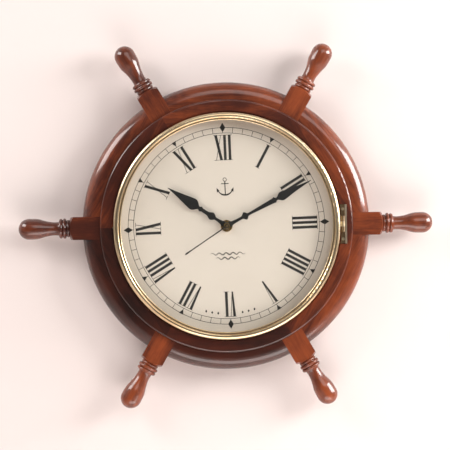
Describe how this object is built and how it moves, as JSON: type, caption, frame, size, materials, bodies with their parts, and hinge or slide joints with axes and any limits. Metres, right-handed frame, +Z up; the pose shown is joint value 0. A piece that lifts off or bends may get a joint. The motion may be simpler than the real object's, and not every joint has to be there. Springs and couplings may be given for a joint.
{
  "type": "ship's-wheel wall clock",
  "caption": "Wooden ship's-wheel wall clock: turned handles round a heavy ring, hinged brass bezel with flat glass, cream dial with Roman numerals, battery quartz movement at the back",
  "frame": {"origin": "centre of the overall box, on the axis of the hands", "axes": "-Y faces the room, +Y the wall, +Z up the wall, +X to the right seen from the front"},
  "size_m": [0.4572, 0.046, 0.399],
  "materials": {
    "case_ring": "gloss varnished mahogany",
    "facing_ring": "gloss varnished mahogany",
    "spoke_1": "gloss varnished mahogany",
    "spoke_2": "gloss varnished mahogany",
    "spoke_3": "gloss varnished mahogany",
    "spoke_4": "gloss varnished mahogany",
    "spoke_5": "gloss varnished mahogany",
    "spoke_6": "gloss varnished mahogany",
    "bezel_ring": "polished",
    "glass_retainer": "polished",
    "hinge_leaf_fixed": "polished",
    "hinge_leaf_moving": "polished",
    "hinge_screws": "polished",
    "catch_barrel": "polished",
    "mounting_bush": "polished",
    "mounting_nut": "polished",
    "mounting_washer": "polished",
    "hand_nut": "polished",
    "second_hand_tube": "polished",
    "glass": "clear",
    "hinge_pin": "zinc plated",
    "hanger_plate": "zinc plated",
    "hanger_screws": "zinc plated",
    "dial_screws": "zinc plated",
    "catch_ball": "zinc plated",
    "stator": "zinc plated",
    "battery_contact_plus": "zinc plated",
    "battery_contact_minus": "zinc plated",
    "quartz_crystal": "zinc plated",
    "dial_board": "raw fibreboard",
    "dial_plate": "cream enamel",
    "hour_hand": "black",
    "minute_hand": "black",
    "second_hand": "black",
    "movement_case": "moulded",
    "movement_cover": "moulded",
    "setting_knob": "moulded",
    "train_plate": "acetal",
    "intermediate_wheel": "acetal",
    "second_wheel": "acetal",
    "third_wheel": "acetal",
    "centre_wheel": "acetal",
    "motion_wheel": "acetal",
    "hour_wheel": "acetal",
    "cushion_washer": "black rubber",
    "rotor": "ferrite magnet",
    "coil": "enamelled copper wire",
    "circuit_board": "glass-epoxy",
    "timing_chip": "epoxy",
    "battery": "plain label"
  },
  "bodies": {
    "clock_case": {"case_ring": "case_ring", "facing_ring": "facing_ring", "spoke_1": "spoke_1", "spoke_2": "spoke_2", "spoke_3": "spoke_3", "spoke_4": "spoke_4", "spoke_5": "spoke_5", "spoke_6": "spoke_6", "hinge_leaf_fixed": "hinge_leaf_fixed", "hinge_screws": "hinge_screws", "catch_barrel": "catch_barrel", "mounting_bush": "mounting_bush", "mounting_nut": "mounting_nut", "mounting_washer": "mounting_washer", "hinge_pin": "hinge_pin", "hanger_plate": "hanger_plate", "hanger_screws": "hanger_screws", "dial_screws": "dial_screws", "catch_ball": "catch_ball", "stator": "stator", "battery_contact_plus": "battery_contact_plus", "battery_contact_minus": "battery_contact_minus", "quartz_crystal": "quartz_crystal", "dial_board": "dial_board", "dial_plate": "dial_plate", "movement_case": "movement_case", "movement_cover": "movement_cover", "train_plate": "train_plate", "cushion_washer": "cushion_washer", "coil": "coil", "circuit_board": "circuit_board", "timing_chip": "timing_chip"},
    "bezel_door": {"bezel_ring": "bezel_ring", "glass": "glass", "glass_retainer": "glass_retainer", "hinge_leaf_moving": "hinge_leaf_moving"},
    "hour_works": {"hour_wheel": "hour_wheel", "hour_hand": "hour_hand"},
    "minute_works": {"centre_wheel": "centre_wheel", "minute_hand": "minute_hand", "hand_nut": "hand_nut"},
    "second_works": {"second_wheel": "second_wheel", "second_hand": "second_hand", "second_hand_tube": "second_hand_tube"},
    "third_works": {"third_wheel": "third_wheel"},
    "motion_works": {"motion_wheel": "motion_wheel", "setting_knob": "setting_knob"},
    "intermediate_works": {"intermediate_wheel": "intermediate_wheel"},
    "rotor_works": {"rotor": "rotor"},
    "battery_cell": {"battery": "battery"}
  },
  "joints": [
    {"name": "bezel_hinge", "type": "hinge", "parent": "clock_case", "child": "bezel_door", "pos_m": [0.127, -0.0177, 0], "axis": [0, 0, 1], "range_deg": [0, 110]},
    {"name": "second_turn", "type": "hinge", "parent": "clock_case", "child": "second_works", "pos_m": [0, 0.003, 0], "axis": [0, 1, 0], "continuous": true},
    {"name": "minute_turn", "type": "hinge", "parent": "clock_case", "child": "minute_works", "pos_m": [0, 0.003, 0], "axis": [0, 1, 0], "continuous": true},
    {"name": "hour_turn", "type": "hinge", "parent": "clock_case", "child": "hour_works", "pos_m": [0, 0.003, 0], "axis": [0, 1, 0], "continuous": true},
    {"name": "third_turn", "type": "hinge", "parent": "clock_case", "child": "third_works", "pos_m": [0.0045, 0.003, 0.00779], "axis": [0, 1, 0], "continuous": true},
    {"name": "setting_turn", "type": "hinge", "parent": "clock_case", "child": "motion_works", "pos_m": [0.00927, 0.003, -0.00248], "axis": [0, 1, 0], "continuous": true},
    {"name": "intermediate_turn", "type": "hinge", "parent": "clock_case", "child": "intermediate_works", "pos_m": [-0.00624, 0.003, 0.0036], "axis": [0, 1, 0], "continuous": true},
    {"name": "rotor_turn", "type": "hinge", "parent": "clock_case", "child": "rotor_works", "pos_m": [-0.00974, 0.003, 0.00966], "axis": [0, 1, 0], "continuous": true},
    {"name": "battery_slide", "type": "slide", "parent": "clock_case", "child": "battery_cell", "axis": [0, 1, 0], "range_m": [0, 0.018]}
  ],
  "couplings": [
    {"joint": "minute_turn", "follows": "second_turn", "ratio": 0.016667},
    {"joint": "hour_turn", "follows": "second_turn", "ratio": 0.0013889},
    {"joint": "third_turn", "follows": "second_turn", "ratio": -0.13333},
    {"joint": "setting_turn", "follows": "second_turn", "ratio": -0.0055556},
    {"joint": "intermediate_turn", "follows": "second_turn", "ratio": -5},
    {"joint": "rotor_turn", "follows": "second_turn", "ratio": 30}
  ]
}
